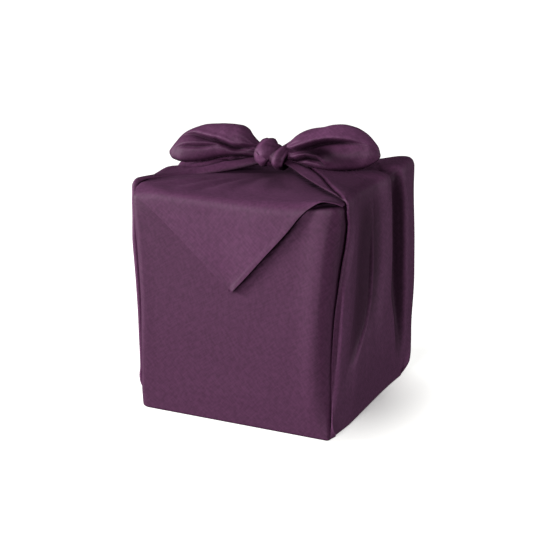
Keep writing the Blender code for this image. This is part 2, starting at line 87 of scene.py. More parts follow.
def rows(names, *lines):
    """A short table: a named column for each word, a row for each line."""
    return {name: np.array(column, float) for name, column in zip(names.split(), zip(*lines))}


def pleats(*lines):
    """A table for each line of a side panel's pleats: its heights, and its place and stand at each."""
    return [dict(zip(("height", "place", "stand"), np.array(line, float))) for line in lines]


# ---- tables of the folded shape

# The Z-fold at each upright edge, by height: how far out the tucked layer lies, the round of the
# corner, where the folded edge comes to, how deep the fold is tucked, how far it is turned and the
# radius of its rolled edge.
FOLD_COLUMNS = "height side round edge tuck turn roll"
FRONT_RIGHT = rows(
    FOLD_COLUMNS,
    (0, 103.4, 2.5, 102.8, 1.5, 0, 0.5),
    (4, 103.4, 2.5, 103.2, 1.5, 60, 0.5),
    (9, 103.4, 2.5, 103.8, 2, 150, 0.5),
    (16, 103.2, 3, 104.2, 2.5, 180, 0.5),
    (50, 101.4, 5, 103.8, 3.5, 180, 0.8),
    (80, 100, 7, 102.6, 6, 180, 1.2),
    (110, 99, 9, 99, 9, 180, 1.4),
    (130, 98.8, 10, 95.5, 12, 180, 1.4),
    (150, 98.8, 11, 90.5, 15, 180, 1.4),
    (170, 99.2, 11, 85, 18, 180, 1.3),
    (187, 100.4, 11, 81, 22, 180, 1.1),
    (204, 102, 9, 82, 26, 180, 0.8),
    (219, 103, 7.6, 90, 32, 180, 0.8),
)
FRONT_LEFT = rows(
    FOLD_COLUMNS,
    (0, 102.8, 8, 92, 3, 0, 1.6),
    (10, 102.8, 7, 94, 2, 30, 1.6),
    (24, 102.6, 5, 95, 1.5, 120, 1.6),
    (40, 102.4, 5, 97, 4, 180, 1.7),
    (110, 102.4, 9, 97, 12, 180, 2),
    (168, 102.6, 11, 96, 22, 180, 2.3),
    (202, 102.8, 9, 92, 28, 180, 2.5),
    (219, 102.8, 7.6, 91, 32, 180, 2.6),
)
BACK_RIGHT = rows(
    FOLD_COLUMNS,
    (0, 101.8, 15, 88, 3, 0, 1.5),
    (10, 102, 12, 91, 2, 60, 1.5),
    (22, 102.4, 9, 94, 1.5, 140, 1.5),
    (34, 102.8, 8, 98, 2.5, 180, 1.5),
    (60, 102.8, 8, 100, 4, 180, 1.5),
    (114, 103, 9, 102, 9, 180, 1.6),
    (168, 102.6, 10, 102, 15, 180, 1.6),
    (202, 102.4, 10.5, 101, 19, 180, 1.6),
    (219, 102.8, 10.6, 100, 21, 180, 1.7),
)
BACK_LEFT = rows(
    FOLD_COLUMNS,
    (0, 101.8, 13, 90, 3, 0, 1.5),
    (14, 102, 10, 93, 2, 30, 1.5),
    (34, 102.4, 8, 96, 1.5, 110, 1.5),
    (56, 102.6, 8, 100, 3, 180, 1.6),
    (114, 102.8, 9, 101, 10, 180, 1.8),
    (168, 102.6, 10, 100, 17, 180, 2),
    (202, 102.6, 10.5, 98, 22, 180, 2.1),
    (219, 102.8, 10.6, 98, 24, 180, 2.1),
)

# The side panels' pleats, front to back. For each line of a pleat: the heights, and at each its
# place along the side and how far it stands from the panel.
ROLL_AT = (0, 33, 60, 92, 128, 170, 198, 219)
HOLLOW_AT = (0, 33, 60, 72, 96, 122, 150, 190, 219)
DEEP_AT = (0, 20, 40, 78, 112, 150, 190, 219)
RIDGE_AT = (0, 20, 40, 78, 150, 190, 219)
LEFT_AT = (0, 60, 120, 180, 219)
RIGHT_PLEATS = pleats(
    # front of the first roll
    ((0, 30, 60, 90, 120, 150, 170, 189, 205, 219), (-101, -101, -99, -97, -91, -84, -79, -75, -76, -84),
     (-0.2, -0.6, -1.2, -1.4, -1.4, -1.4, -1.4, -1.4, -1.2, -0.8)),
    # its crest
    (ROLL_AT, (-97, -97, -87, -81, -75, -72, -68, -76), (0, 0.2, -0.2, -0.2, -0.2, -0.2, -0.2, 0)),
    (ROLL_AT, (-88, -88, -78, -72, -66, -62, -59, -66), (0, 0.2, -0.6, -0.8, -1, -1, -1, -0.6)),
    (ROLL_AT, (-76, -76, -72, -62, -52, -48, -46, -52), (0, 0, -1.4, -3, -3.8, -3.8, -3.4, -2.4)),
    # the hollow behind it
    (HOLLOW_AT, (-66, -68, -68, -61, -38, -28, -23, -23, -32),
     (0, -0.2, -1.4, -3.4, -5.2, -6.2, -6.8, -5.6, -3)),
    (HOLLOW_AT, (-60, -62, -62, -53, -26, -15, -12, -13, -21), (0, 0, -1, -2.6, -4.8, -5.8, -6.4, -5, -2.9)),
    # a narrow ridge
    (HOLLOW_AT, (-54, -56, -57, -48, -21, -11, -8, -9, -16), (0, 0.2, 0, 0, -1.8, -2.2, -2.8, -3.6, -2.8)),
    (HOLLOW_AT, (-46, -48, -50, -40, -15, -6, -3, -4, -11), (0, 0.2, 0.4, 0.2, -2.2, -4.2, -5.4, -5, -2.8)),
    (HOLLOW_AT, (-20, -22, -22, -12, -2, 4, 7, 5, -2), (0, 0.3, 0.6, 0.2, -1.4, -3.2, -4.4, -4, -2.2)),
    # the large roll
    ((0, 33, 60, 92, 120, 150, 190, 219), (0, 0, 0, 9, 14, 17, 15, 7), (0, 0.4, 1, 1, 0.6, 0.4, 0.2, 0.2)),
    ((0, 33, 60, 92, 150, 190, 219), (16, 16, 18, 22, 25, 23, 14), (0, 0.4, 1.4, 2, 2.2, 2.2, 2.2)),
    (DEEP_AT, (62, 60, 51, 40, 29, 30, 28, 23), (0, 0.2, 0.8, 1.6, 2.2, 2.4, 2.4, 2.4)),
    # the deep fold behind it
    (DEEP_AT, (66, 65, 55, 45, 36, 37, 34, 28), (0, -0.4, -1.6, -6, -9, -10, -10, -6)),
    (DEEP_AT, (70, 70, 63, 55, 47, 47, 44, 37), (0, -0.9, -3.4, -9.6, -13, -14, -14, -8)),
    (DEEP_AT, (73, 74, 73, 71, 70, 69.5, 67.5, 57), (0, -1.2, -3.8, -9.6, -12.6, -13.4, -13, -7.6)),
    (DEEP_AT, (76, 78, 77.5, 76, 75, 74.5, 72.5, 62), (0, -0.8, -2.2, -5, -6.6, -7, -6.6, -3.6)),
    # the last ridge
    (RIDGE_AT, (79, 82, 81.5, 80, 78.5, 76.5, 66), (0, -0.2, -0.4, -0.8, -1, -0.8, 0)),
    (RIDGE_AT, (82, 87, 88, 87, 85, 83, 73), (0, 0.3, 0.4, 0.4, 0.4, 0.6, 1)),
)
LEFT_PLEATS = pleats(
    ((0, 60, 110, 168, 219), (-76, -76, -72, -68, -66), (0, -0.2, -0.4, -0.4, -0.6)),
    ((0, 60, 110, 160, 219), (-56, -56, -40, -32, -34), (0, 0.4, 2, 3.2, 3.2)),
    ((0, 110, 160, 219), (-34, -20, -14, -18), (0, 0.2, -0.6, -1.6)),
    (LEFT_AT, (-6, -6, 0, 6, -2), (0, 0.6, 2.4, 4, 4)),
    ((0, 80, 140, 190, 219), (22, 20, 24, 22, 15), (0, -0.4, -2.4, -3, -2.4)),
    ((0, 50, 120, 180, 219), (50, 44, 42, 38, 32), (0, 1.2, 3, 3.8, 3.6)),
    (LEFT_AT, (58, 60, 58, 54, 48), (0, -0.6, -1.6, -2.2, -1.6)),
    (LEFT_AT, (66, 74, 73, 70, 62), (0, 0.8, 2.4, 3.2, 3.2)),
    ((0, 14, 32, 60, 165, 219), (72, 76, 84, 87, 87, 79), (0, 0, 0.2, 0.2, 0.6, 0.4)),
)
# The section's column where the back begins.
BACK_START = FACE_STEPS + 2 * UPRIGHT_STEPS + (len(RIGHT_PLEATS) + 1) * FOLD_STEPS
# How far out the panels lie between their pleats, by height.
PANEL = rows("height out", (0, 103.6), (14, 104.8), (34, 106.8), (60, 107.8), (219, 107.8))

# How far the front bellies out from flat, by place across it, and by height its share of that and how
# far right the whole of it lies.
BELLY_ACROSS = rows(
    "across out",
    (-110, 1.8), (-90, 1.6), (-60, 0.6), (0, 0.2), (58, 0.3), (68, 0.9), (76, 2.3), (82, 3), (86, 2.5),
    (90, 0.7), (94, -2.4), (97.5, -6.4), (100, -10.6), (102, -15.4),
)
BELLY_UP = rows(
    "height share right", (0, 0, 1), (14, 0.15, 2), (50, 0.6, 2.5), (100, 1, 2.5), (140, 1, 3), (170, 1, 5),
    (200, 1, 7), (219, 0.6, 7),
)

# Soft pushes that make the bundle as uneven as it is: the middle of each, how far it reaches and how
# far it moves the cloth there.
PUSHES = rows(
    "x y z reach_x reach_y reach_z push_x push_y push_z",
    (-112, -112, 222, 90, 110, 130, -5, 0, 0),
    (112, 100, 90, 80, 110, 150, 3.4, 0, 0),
    (112, 104, 14, 60, 60, 50, 2, 0, 0),
    (104, 112, 240, 70, 60, 60, 0, 0, 5),
    (-108, -108, 6, 50, 50, 40, -1.6, 0, 0),
    (110, -110, 215, 46, 60, 110, 4.2, 0, 0),
    (110, -110, 50, 46, 60, 120, -5.6, 0, 0),
    (-10, -114, 234, 140, 64, 44, 0, 0, -4.6),
    (-114, -116, 230, 50, 32, 34, 0, 0, -7),
    (92, -110, 228, 38, 30, 30, 0, 0, 2),
)

# The ties on top, from the wall to the knot: how far out, how high, the shares left of the panel's
# width, of the rolled edge's own width and of the pleats' height, how far the tie is arched, how much
# lighter it is painted for the cloth behind it, with painted shade near the knot below nought, and how
# much painted shade its rolled edges get.
TIE_COLUMNS = "out height gather margin fold arch behind rim"
RIGHT_TIE = rows(
    TIE_COLUMNS,
    (107.8, 219, 1, 1, 1, 0, 0.3, 0),
    (107.7, 224, 1, 1, 1, 0, 0.3, 0),
    (106.2, 228.8, 0.99, 1, 0.9, 0, 0.3, 0),
    (102.4, 231.8, 0.97, 1, 0.75, 0, 0.3, 0.3),
    (95, 233.2, 0.92, 1, 0.6, 0.4, 0.3, 0.9),
    (78, 234.2, 0.76, 1.02, 0.45, 1.2, 0.35, 1.1),
    (60, 235.6, 0.585, 1.02, 0.4, 1.8, 0.45, 1.2),
    (42, 237.2, 0.4, 0.95, 0.4, 2.4, 0.3, 1),
    (28, 238.6, 0.245, 0.72, 0.4, 2.8, -0.2, 0.8),
    (16, 240.6, 0.14, 0.45, 0.4, 2.6, -0.5, 0.5),
    (6, 243, 0.1, 0.3, 0.4, 1.8, -0.6, 0.4),
)
LEFT_TIE = rows(
    TIE_COLUMNS,
    (107.8, 219, 1, 1, 1, 0, 0.3, 0),
    (107.7, 224, 1, 1, 1, 0, 0.3, 0),
    (106.2, 228.6, 0.97, 1, 0.9, 0, 0.4, 0),
    (102.4, 229.6, 0.88, 1, 0.6, 0.8, 0.5, 0),
    (95, 228, 0.68, 0.9, 0.25, 4, 0.6, 0),
    (86, 227.3, 0.5, 0.75, 0.2, 6.6, 0.6, 0),
    (76, 227.5, 0.37, 0.65, 0.25, 8.6, 0.4, 0.1),
    (62, 228.8, 0.29, 0.6, 0.3, 9.6, 0.2, 0.4),
    (48, 231, 0.21, 0.5, 0.4, 9.8, 0, 0.6),
    (34, 234, 0.15, 0.42, 0.45, 9, -0.3, 0.6),
    (22, 237.2, 0.13, 0.38, 0.45, 6.4, -0.5, 0.5),
    (12, 240.3, 0.12, 0.34, 0.4, 3.6, -0.6, 0.4),
)

# The under layer past the tucked sides: along the top, then down inside the back as a point.
UNDER = rows(
    "deep height left right",
    (-20, 225, -97.5, 97.5),
    (30, 225, -97, 97),
    (70, 225, -91, 91),
    (92, 225, -86, 86),
    (96, 223.6, -85, 85),
    (98, 219.5, -82, 82),
    (98, 180, -47, 47),
    (98, 132, -3, 3),
)

# The over layer past the tucked sides: along the top, over the front edge and down as the flap. The
# lift raises the right hem where it arches from the front edge to the right tie, the stand is how
# far the flap's right hem comes away from the front, and the last column is how much lighter it is
# painted: partly for the cloth behind it, partly painted light, most where the top meets the front edge.
OVER = rows(
    "deep height left right lift stand behind",
    (30, 227.6, -99.5, 99.5, 0, 0, 0.34),
    (-10, 227.6, -100.5, 100.5, 0, 0, 0.38),
    (-50, 227.6, -101, 101, 0, 0, 0.55),
    (-80, 227.6, -101.5, 102.5, 0.6, 0, 0.8),
    (-97, 227.4, -100.5, 103.5, 2, 0, 0.8),
    (-102.6, 226.2, -98, 89, 3.4, 0.2, 0.5),
    (-105.8, 222.6, -95, 78, 2.4, 1.6, 0.3),
    (-106.8, 217, -89.5, 71.4, 0.6, 2.6, 0.26),
    (-107, 199.6, -71.3, 58.4, 0, 3, 0.32),
    (-107, 176, -46, 37.6, 0, 3, 0.34),
    (-107, 153, -21, 17.6, 0, 2.6, 0.2),
    (-107.2, 135.6, -0.8, 1.8, 0, 1.8, -0.1),
)
LIFT_CENTRE = 88.0  # across, the middle of the lifted stretch of hem
LIFT_REACH = 9.0  # and how far it reaches to each side
LIFT_FORWARD = 0.6  # how far forward the hem lifts for each part that it rises
STAND_REACH = 0.7  # share of the flap's width over which its right part stands off
KNOT_SHADE = (-6, -12, 17, 0.9)  # the painted shadow below the knot: its middle, size and depth
HEM = 4.2  # width of the cloth's narrow turned hem
HEM_STEP = 0.8  # over which it steps down to the single cloth
HEM_PROUD = 0.35  # how far the hem stands out
HEM_SHOWS = 222.0  # height below which it does, down the flap
SIDE_TURN = 97.6  # where the top layers start to round down over the sides
SIDE_ROUND = 8.6  # radius of that round

# Soft creases, from one end to the other: width and height, and below nought for a trough.
CREASE_COLUMNS = "from_a from_b to_a to_b wide high"
TOP_CREASES = rows(
    CREASE_COLUMNS,  # across and deep
    (-62, -94, -22, -24, 5.5, 1.3),
    (-46, -92, -18, -26, 5, -1.1),
    (-86, -84, -30, -22, 5, 1.2),
    (-76, -92, -27, -24, 4, -0.8),
    (-28, -88, -13, -24, 6, 0.9),
    (-8, -84, -7, -24, 7, -0.7),
    (18, -80, 0, -22, 7, 0.8),
    (44, -62, 10, -18, 6, -0.6),
    (-58, 84, -20, 22, 6, 1.2),
    (-34, 88, -14, 24, 6, -0.9),
    (-4, 86, -6, 24, 7, 0.9),
    (30, 84, 4, 22, 7, -0.8),
    (58, 78, 12, 20, 6, 0.9),
)
FRONT_CREASES = rows(
    CREASE_COLUMNS,  # across and up
    (-94, 30, -97, 210, 6, 0.5),
    (-80, 60, -86, 205, 8, -0.35),
    (92, 222, 100, 196, 5, -1.6),
    (-60, 20, 40, 34, 14, 0.3),
    (30, 60, 78, 150, 12, 0.25),
)
RIGHT_CREASES = rows(
    CREASE_COLUMNS,  # deep and up
    (-72, 20, -66, 90, 5, 0.35),
    (-30, 30, -18, 88, 7, 0.4),
    (6, 24, 12, 80, 7, -0.4),
    (-50, 120, -46, 200, 5, 0.5),
    (70, 60, 72, 190, 3, -0.5),
)
BACK_CREASES = rows(
    CREASE_COLUMNS,  # across and up
    (-66, 30, -62, 205, 7, 0.5),
    (50, 20, 60, 200, 8, -0.5),
    (74, 40, 78, 205, 6, 0.5),
    (-20, 180, 40, 210, 10, 0.3),
)
FLAP_CREASES = rows(
    CREASE_COLUMNS,  # across and up
    (-60, 216, 0, 160, 9, 0.35),
    (-30, 218, 20, 168, 8, -0.3),
    (20, 216, 30, 178, 7, 0.3),
)
TIE_CREASES = rows(
    CREASE_COLUMNS,  # across and deep
    (14, 20, 66, -39, 1.8, -1.8),
    (56, -27, 109, -98, 1.8, -2),
    (66, 78, 106, 30, 2, -1.6),
    (-92, -27, -38, 3, 2.2, -2.4),
    (-56, -8, -8, 4, 2.4, -2.6),
)

# Painted shadows, where the cloth lies close under an edge that stands off it: the line and, below
# nought, how much darker. First the top under the ties' edges, then the front under the flap's hem.
TIE_SHADES = rows(
    CREASE_COLUMNS,  # across and deep
    (15, 9, 61, -44, 3.2, -1.8),
    (47, -29, 105, -89, 3.2, -1.9),
    (-92, -22, -52, -9, 3.6, -0.7),
    (-66, -16, -18, 18, 4.6, -0.9),
)
HEM_SHADES = rows(
    CREASE_COLUMNS,  # across and up
    (-1, 132, 33, 168, 2.2, -0.85),
    (28, 162, 72, 215, 2.4, -1),
    (70, 221, 108, 227, 1.8, -1.1),
)

# The ears, from the knot to the tip: the lower and upper edge, how far they are puffed out, the main
# crease's share of the height, its depth and its width, the lower crease's share and depth, how much
# painted light the upper lobe gets, and how much painted shade and at which share the cloth below it gets.
EAR_COLUMNS = (
    "low_x low_y low_z high_x high_y high_z puff "
    "main main_deep main_wide under under_deep lit shade shade_at"
)
LEFT_EAR = rows(
    EAR_COLUMNS,
    (-12, -2, 244, -12, 3, 254, 4, 0.52, 1, 0.13, 0.2, 0, 0.1, 0.5, 0.2),
    (-20, -4, 243.4, -20, 4, 256.5, 6, 0.64, 2.6, 0.13, 0.2, 0, 0.2, 0.6, 0.2),
    (-28, -6, 243.2, -28, 4, 263, 8.5, 0.43, 4.6, 0.13, 0.2, 0, 0, 0.6, 0.15),
    (-35, -7, 243.4, -34, 5, 269.8, 10.5, 0.3, 6.4, 0.13, 0.2, 0, 0.1, 0.6, 0.1),
    (-43, -8, 243.4, -42, 5.5, 273, 12, 0.25, 8, 0.11, 0.2, 0, 0.3, 0.3, 0.1),
    (-52, -9, 242.8, -52, 6, 273.4, 13.2, 0.32, 8.4, 0.1, 0.24, 0, 0.4, 0.1, 0.1),
    (-60, -10, 241.6, -60, 6, 273.2, 13.5, 0.4, 8, 0.09, 0.26, 1.2, 0.45, 0, 0.1),
    (-67, -11, 239.6, -67, 5, 272.8, 13.5, 0.47, 7.4, 0.09, 0.3, 2.6, 0.5, 0, 0.1),
    (-78, -14, 236.8, -79, 4, 271.6, 13, 0.58, 6.4, 0.1, 0.32, 3.2, 0.5, 0, 0.1),
    (-90, -18, 235.4, -91, 0, 268, 11, 0.74, 3.4, 0.12, 0.38, 2.6, 0.4, 0, 0.1),
    (-100, -20, 235.8, -102, -4, 262.2, 8, 0.8, 0.8, 0.13, 0.42, 0.8, 0.2, 0, 0.1),
    (-108, -20, 237.8, -110, -9, 252.6, 4.8, 0.8, 0, 0.13, 0.42, 0, 0.1, 0, 0.1),
    (-114, -16, 241, -115, -13, 245.5, 1.6, 0.8, 0, 0.13, 0.42, 0, 0, 0, 0.1),
)
RIGHT_EAR = rows(
    EAR_COLUMNS,
    (4, -3, 243.5, 4, 3, 256, 4.5, 0.52, 0.6, 0.12, 0.08, 0, 0, 0, 0.3),
    (11, -5, 243.6, 11, 5, 260.6, 6.5, 0.48, 2, 0.12, 0.1, 0.6, 0.1, 0, 0.3),
    (19, -7, 243.2, 18.5, 6, 267, 9, 0.36, 5, 0.12, 0.04, 2.6, 0.3, 0.1, 0.3),
    (28, -8, 241.6, 27, 6.5, 272, 11.5, 0.41, 8, 0.14, 0.11, 5.6, 0.1, 0.5, 0.34),
    (37.6, -8, 239, 36, 8, 275, 13, 0.49, 9.6, 0.18, 0.19, 6.6, 0.4, 1.1, 0.38),
    (46.8, -7, 237.4, 45, 9, 276.6, 14, 0.57, 10, 0.22, 0.18, 5, 0.7, 1.2, 0.37),
    (56.4, -6, 237, 54.4, 10.5, 279.2, 14, 0.585, 9.8, 0.24, 0.08, 1.6, 0.8, 1.1, 0.33),
    (67.6, -4, 237, 64.6, 12, 280, 14, 0.59, 8.6, 0.2, 0.08, 0, 0.8, 0.8, 0.22),
    (79, -1.5, 237.8, 77, 12.5, 278, 13, 0.61, 5.6, 0.2, 0.08, 0, 0.9, 0.5, 0.18),
    (88.4, 0.5, 240, 87.4, 12, 273.4, 11, 0.64, 2, 0.2, 0.08, 0, 0.9, 0.2, 0.15),
    (96, 1.5, 243.6, 96.4, 9, 267.2, 8, 0.66, 0, 0.3, 0.08, 0, 0.5, 0, 0.1),
    (102.4, 2.6, 248.2, 102.4, 7, 261, 4.6, 0.66, 0, 0.3, 0.08, 0, 0.4, 0, 0.1),
    (105, 4, 251.8, 105, 5.4, 254.6, 1.2, 0.66, 0, 0.3, 0.08, 0, 0.3, 0, 0.1),
)
EAR_FRONT, EAR_BACK = 64, 26  # points up the front of an ear and down its back
FLATTER_BACK = 0.62  # how far an ear is puffed out at the back, as a share of its front
# An ear's creases are steep on their upper side, with a soft lip over it: how proud it is, as a share
# of the crease's depth, how far above the crease and how wide. These are shares of the ear's height.
STEEP, SLIT_WIDE = 0.03, 0.06
LIP, SLIT_LIP = (0.16, 0.1, 0.07), (0.5, 0.08, 0.05)

# The knot: a packed core and two bands round it. For each band: its middle, its lean in degrees, how
# deep and tall its loop is, how wide and thick the band is to each side, its shares of that width at
# the top and the foot, how many gathers run along it, how high and how far aside, and how much lighter
# it is painted, partly for the cloth behind and partly as painted light.
CORE_CENTRE, CORE_RADII = (-6, 0, 246), (18, 13, 11)
KNOT_BANDS = rows(
    "x y z lean deep tall wide thick crown foot gathers high drift behind",
    (-11.6, -0.5, 248.4, 31, 12.8, 9.4, 9.8, 4.4, 1.08, 0.76, 1.2, 0.6, 1.6, 0.95),
    (4.6, -0.8, 245.6, 33, 12.2, 8.2, 8.4, 4.2, 0.72, 1.2, 1.7, 0.9, 2.2, 0.4),
)
BAND_SIDES, BAND_STEPS = 40, 96  # points round a band's section and round its loop


# ---- reading tables and drawing lines

def smooth(knots, values, at):
    """Read values at places between their knots, on a smooth curve that never overshoots them."""
    widths = np.diff(knots)
    slopes = np.diff(values) / widths
    before, after = slopes[:-1], slopes[1:]
    turning = before * after <= 0
    mean = 2 * before * after / np.where(turning, 1, before + after)
    tangents = np.concatenate(([slopes[0]], np.where(turning, 0, mean), [slopes[-1]]))
    at = np.clip(at, knots[0], knots[-1])
    i = np.clip(np.searchsorted(knots, at) - 1, 0, len(widths) - 1)
    t = (at - knots[i]) / widths[i]
    rise = t * t * (3 - 2 * t)
    ends = values[i] * (1 - rise) + values[i + 1] * rise
    return ends + widths[i] * t * (1 - t) * ((1 - t) * tangents[i] - t * tangents[i + 1])


def read(table, column, at):
    """A named column of a table, read at a place on its first column."""
    first = next(iter(table))
    return smooth(table[first], table[column], at)


def finer(table, steps):
    """A table read at evenly spaced places between its lines, as named columns."""
    lines = np.arange(len(next(iter(table.values()))), dtype=float)
    at = np.linspace(0, lines[-1], steps * (len(lines) - 1) + 1)
    return {name: smooth(lines, column, at) for name, column in table.items()}


def walk(x, y, heading, legs):
    """The points on a path of legs, each a length, a turn in degrees and a number of steps."""
    points = [(x, y)]
    for length, turn, steps in legs:
        half = math.radians(turn) / steps / 2
        chord = length / steps * (math.sin(half) / half if half else 1)
        for _ in range(steps):
            heading += half
            x += chord * math.sin(heading)
            y -= chord * math.cos(heading)
            heading += half
            points.append((x, y))
    return np.array(points)


def bump(at, middle, wide):
    """1 at the middle, falling softly to nothing a few widths away."""
    return np.exp(-(((at - middle) / wide) ** 2))


def creases(table, a, b):
    """How high soft creases stand at places given on a face."""
    total = np.zeros(np.shape(a))
    for from_a, from_b, to_a, to_b, wide, high in zip(*table.values()):
        along_a, along_b = to_a - from_a, to_b - from_b
        share = ((a - from_a) * along_a + (b - from_b) * along_b) / (along_a**2 + along_b**2)
        near = np.clip(share, 0, 1)
        off = np.hypot(a - from_a - near * along_a, b - from_b - near * along_b)
        fade = 1 - (2 * near - 1) ** 4
        total += high * fade * bump(off, 0, wide)
    return total


def ripple(a, b, size, seed):
    """An even, gentle waviness between -1 and 1 at places given on a face."""
    draw = np.random.default_rng(seed)
    total = 0
    for _ in range(7):
        angle, phase, stretch = draw.uniform(0, math.tau), draw.uniform(0, math.tau), draw.uniform(0.7, 1.5)
        along = a * math.cos(angle) + b * math.sin(angle)
        total = total + np.sin(along * math.tau / (size * stretch) + phase)
    return total / 4


def ease(value, low, high):
    """0 below low, 1 above high and a soft step between."""
    t = np.clip((value - low) / (high - low), 0, 1)
    return t * t * (3 - 2 * t)


# ---- the walls

def fold_path(fold, height):
    """The cloth round one upright edge, from the face to the side panel, as out-and-forward pairs."""
    names = FOLD_COLUMNS.split()[1:]
    side, curve, edge, tuck, turn, roll = (float(read(fold, name, height)) for name in names)
    angle = math.radians(turn)
    lean = math.sin(angle)
    start = edge + TUCK_TURN * lean + tuck * math.cos(angle) - roll * (1 - lean)
    flat = max(FACE - curve - start, SHORTEST)
    hem = min(TUCK_HEM, tuck / 2)
    legs = (
        (curve * math.pi / 2, -90, CORNER_STEPS),
        (flat, 0, TUCK_STEPS),
        (TUCK_TURN * math.pi, turn, TURN_STEPS),
        (tuck - hem, 0, HEM_STEPS),
        (hem, 0, HEM_STEPS),
        (roll * math.pi, -turn, ROLL_STEPS),
    )
    return walk(side - curve, FACE, math.pi / 2, legs)


def panel_path(folds, height, front, back):
    """A side panel from its front fold to its back fold, as out-and-back pairs."""
    panel = float(read(PANEL, "out", height))
    place = [front[1]] + [float(read(line, "place", height)) for line in folds] + [back[1]]
    out = [front[0]] + [panel + float(read(line, "stand", height)) for line in folds] + [back[0]]
    steps = np.arange(0, (len(place) - 1) * FOLD_STEPS + 1) / FOLD_STEPS
    lines = np.arange(len(place), dtype=float)
    return np.column_stack((smooth(lines, np.array(out), steps), smooth(lines, np.array(place), steps)))


def section(height):
    """The cloth at a height, anticlockwise from above: front, right side, back and left side."""
    flip_x = np.array((-1, 1))
    flip_y = np.array((1, -1))
    front_left = fold_path(FRONT_LEFT, height)[::-1] * flip_x * flip_y
    front_right = fold_path(FRONT_RIGHT, height) * flip_y
    back_right = fold_path(BACK_RIGHT, height)[::-1]
    back_left = fold_path(BACK_LEFT, height) * flip_x
    right = panel_path(RIGHT_PLEATS, height, front_right[-1], back_right[0])
    left = panel_path(LEFT_PLEATS, height, front_left[0] * flip_x, back_left[-1] * flip_x)
    share = np.linspace(0, 1, FACE_STEPS + 1)[:, None]
    front = front_left[-1] * (1 - share) + front_right[0] * share
    back = back_right[-1] * (1 - share) + back_left[0] * share
    parts = (front, front_right, right, back_right, back, back_left, left[::-1] * flip_x, front_left)
    ring = np.vstack([part[:-1] for part in parts] + [front[:1]])
    across = ring[:, 0] - read(BELLY_UP, "right", height)
    belly = read(BELLY_ACROSS, "out", across) * read(BELLY_UP, "share", height)
    ring[:, 1] -= belly * np.clip((-ring[:, 1] - FACE) / BELLY_DEPTH + 1, 0, 1)
    return ring


def at_height(points, height):
    """Section points with one height added."""
    return np.column_stack((points, np.full(len(points), float(height))))


def wall_rows():
    """The walls, from the flat base to the height where they turn over the top edges."""
    base = SHOWN_CLOTH / 2
    grid = []
    for angle in BASE_ANGLES:
        rise = BASE_ROUND * (1 - math.cos(math.radians(angle)))
        inset = BASE_ROUND * (1 - math.sin(math.radians(angle)))
        grid.append(at_height(section(base + rise) * (1 - inset / FACE), base + rise))
    grid.insert(0, grid[0] * (BASE_INNER, BASE_INNER, 1))
    start = base + BASE_ROUND
    count = round((WALL_TOP - start) / WALL_ROW)
    heights = start + (WALL_TOP - start) * np.arange(1, count + 1) / count
    return np.array(grid + [at_height(section(height), height) for height in heights])


def hem_shade(grid):
    """The painted shadow on the front, close under the flap's hem."""
    return creases(HEM_SHADES, grid[..., 0], grid[..., 2]) * ease(-grid[..., 1], *SHADE_ZONE)


def wall_relief(grid):
    """The walls with their soft creases, which fade out at the base."""
    x, y, z = np.moveaxis(grid, -1, 0)
    rise = ease(z, *BASE_FADE)
    moved = grid.copy()
    front = creases(FRONT_CREASES, x, z) + 0.16 * ripple(x, z, 46, 3)
    moved[..., 1] -= ease(-y, *FACE_ZONE) * rise * front
    back = creases(BACK_CREASES, x, z) + 0.3 * ripple(x, z, 60, 5)
    moved[..., 1] += ease(y, *FACE_ZONE) * rise * back
    right = creases(RIGHT_CREASES, y, z) + 0.22 * ripple(y, z * 0.5, 24, 7)
    moved[..., 0] += ease(x, *PANEL_ZONE) * rise * right
    left = 0.3 * ripple(y, z * 0.5, 26, 11)
    moved[..., 0] -= ease(-x, *PANEL_ZONE) * rise * left
    return moved


# ---- the layers on top

def rim_rows(top, first, turn_radius):
    """The front or back wall and its tucked sides, turned over the top edge in a few rows."""
    side_steps = CORNER_STEPS + TUCK_STEPS
    picked = np.arange(first - side_steps, first + FACE_STEPS + side_steps + 1) % (len(top) - 1)
    rim = top[picked]
    corner = np.clip(np.arange(side_steps + 1), 0, CORNER_STEPS) * 90 / CORNER_STEPS
    angles = np.radians(np.concatenate((-corner[::-1], np.zeros(FACE_STEPS - 1), corner)))
    towards = -1 if first == 0 else 1
    outward = np.column_stack((-towards * np.sin(angles), towards * np.cos(angles)))
    grid = [at_height(rim, WALL_TOP)]
    for turn in np.radians(EDGE_ANGLES):
        inset = rim - outward * turn_radius * (1 - math.cos(turn))
        grid.append(at_height(inset, WALL_TOP + turn_radius * math.sin(turn)))
    return np.array(grid)


def top_rows(rim):
    """The flat top inside a turned rim, back to the end of its tucked sides, and its columns' shares."""
    corner = TUCK_STEPS + CORNER_STEPS // 2
    edge = rim[corner:len(rim) - corner]
    one_side = rim[corner::-1]
    other_side = rim[len(rim) - corner - 1:]
    across = (edge[:, 0] - edge[0, 0]) / (edge[-1, 0] - edge[0, 0])
    far = one_side[-1] + (other_side[-1] - one_side[-1]) * across[:, None]
    grid = []
    for step in range(corner + 1):
        down = step / corner
        left, right = one_side[step], other_side[step]
        line = edge * (1 - down) + far * down
        line += (left - line[0]) * (1 - across[:, None]) + (right - line[-1]) * across[:, None]
        grid.append(line)
    return grid, across


def under_layer(top):
    """The front cloth over the top edge, along the top and down inside the back."""
    rim = rim_rows(top, 0, UNDER_TOP - WALL_TOP)
    grid, across = top_rows(rim[-1])
    for deep, height, left, right in zip(*finer(UNDER, LAYER_ROWS).values()):
        x = left + (right - left) * across
        grid.append(at_height(np.column_stack((x, np.full(len(x), deep))), height))
    grid = np.array(grid)
    return rim, grid, np.zeros(grid.shape[:2])


